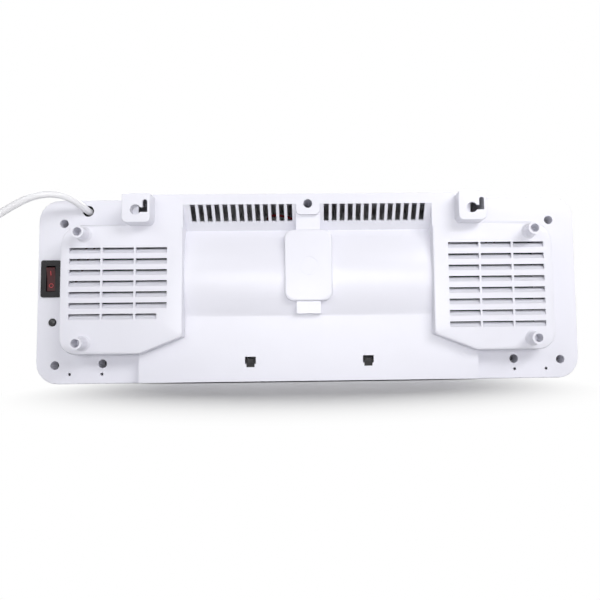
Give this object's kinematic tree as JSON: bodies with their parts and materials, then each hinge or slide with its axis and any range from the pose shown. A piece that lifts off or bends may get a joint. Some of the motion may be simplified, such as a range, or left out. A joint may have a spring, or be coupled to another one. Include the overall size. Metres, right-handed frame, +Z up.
{
  "type": "wall-mounted fan heater",
  "caption": "Long wall-mounted fan heater seen from behind: white rear cover with louvred intakes and keyhole ears, twin cross-flow fan, ceramic elements, swing flap, mains lead.",
  "frame": {"origin": "on the wall plane, on the casing's centre line, at the height where the two wall screws carry the keyholes", "axes": "+X along the heater, to the right when one faces its front; +Y into the wall; +Z up; the heater stands on the -Y side"},
  "size_m": [0.7153, 0.1188, 0.187],
  "materials": {
    "white_abs": "fine satin texture",
    "front_white": "smooth satin gloss",
    "duct_grey": "heat-resistant moulding",
    "heater_cream": "glass-filled moulding",
    "fins": "mill finish",
    "cutout_ceramic": "ceramic body",
    "dark_grille": "dark satin",
    "steel": "bright steel",
    "dark_screws": "dark zinc",
    "fan_black": "moulded",
    "black_rubber": "matt",
    "motor_steel": "zinc-plated can",
    "copper": "enamelled copper wire",
    "bronze": "sintered bronze",
    "board_green": "solder mask",
    "black_parts": "moulded cases",
    "window_dark": "smoked and polished",
    "button_white": "satin",
    "switch_black": "satin black",
    "rocker_red": "dark translucent red",
    "sensor_black": "resin bead",
    "clamp_white": "nylon",
    "wire_red": "silicone sleeve",
    "wire_brown": "insulated wire",
    "lead_white": "flexible cable sheath",
    "tie_dark": "hook-and-loop strap",
    "pin_nickel": "nickel-plated"
  },
  "bodies": {
    "casing": {"rear_cover": "white_abs", "front_casing": "front_white", "casing_screws": "dark_screws", "air_duct": "duct_grey", "heater_frame": "heater_cream", "heating_element_left": "fins", "heating_element_right": "fins", "thermal_cutout": "cutout_ceramic", "outlet_grille": "dark_grille", "swing_motor": "steel", "end_bearings": "black_rubber", "motor_housing": "motor_steel", "motor_cap": "motor_steel", "motor_stator": "motor_steel", "motor_coils": "copper", "motor_bearings": "bronze", "motor_rings": "black_rubber", "motor_strap": "steel", "main_board": "board_green", "board_parts": "black_parts", "display_board": "board_green", "display_module": "black_parts", "display_window": "window_dark", "switch_body": "switch_black", "room_sensor": "sensor_black", "cord_clamp": "clamp_white", "inner_screws": "steel", "heater_wires": "wire_red", "mains_wires": "wire_brown", "mains_lead": "lead_white", "lead_coil": "lead_white", "lead_tie": "tie_dark", "plug_body": "lead_white", "plug_contacts": "pin_nickel"},
    "fan": {"fan_wheel_left": "fan_black", "fan_wheel_right": "fan_black", "fan_shaft": "steel", "wheel_pins": "steel", "motor_rotor": "motor_steel"},
    "flap": {"swing_flap": "front_white", "flap_shaft": "steel"},
    "switch_rocker": {"rocker": "rocker_red"},
    "power_button": {"power_button": "button_white"},
    "mode_button": {"mode_button": "button_white"},
    "swing_button": {"swing_button": "button_white"},
    "timer_button": {"timer_button": "button_white"}
  },
  "joints": [
    {"name": "fan_spin", "type": "hinge", "parent": "casing", "child": "fan", "pos_m": [0, -0.06, -0.06], "axis": [1, 0, 0], "continuous": true},
    {"name": "flap_swing", "type": "hinge", "parent": "casing", "child": "flap", "pos_m": [0, -0.08503, -0.15428], "axis": [1, 0, 0], "range_deg": [0, 75]},
    {"name": "rocker_tilt", "type": "hinge", "parent": "casing", "child": "switch_rocker", "pos_m": [0.2563, -0.044, -0.0676], "axis": [1, 0, 0], "range_deg": [0, 14]},
    {"name": "power_button_press", "type": "slide", "parent": "casing", "child": "power_button", "axis": [0, 1, 0], "range_m": [0, 0.0012], "stiffness_N_per_m": 400, "springref_m": -0.0002},
    {"name": "mode_button_press", "type": "slide", "parent": "casing", "child": "mode_button", "axis": [0, 1, 0], "range_m": [0, 0.0012], "stiffness_N_per_m": 400, "springref_m": -0.0002},
    {"name": "swing_button_press", "type": "slide", "parent": "casing", "child": "swing_button", "axis": [0, 1, 0], "range_m": [0, 0.0012], "stiffness_N_per_m": 400, "springref_m": -0.0002},
    {"name": "timer_button_press", "type": "slide", "parent": "casing", "child": "timer_button", "axis": [0, 1, 0], "range_m": [0, 0.0012], "stiffness_N_per_m": 400, "springref_m": -0.0002}
  ]
}
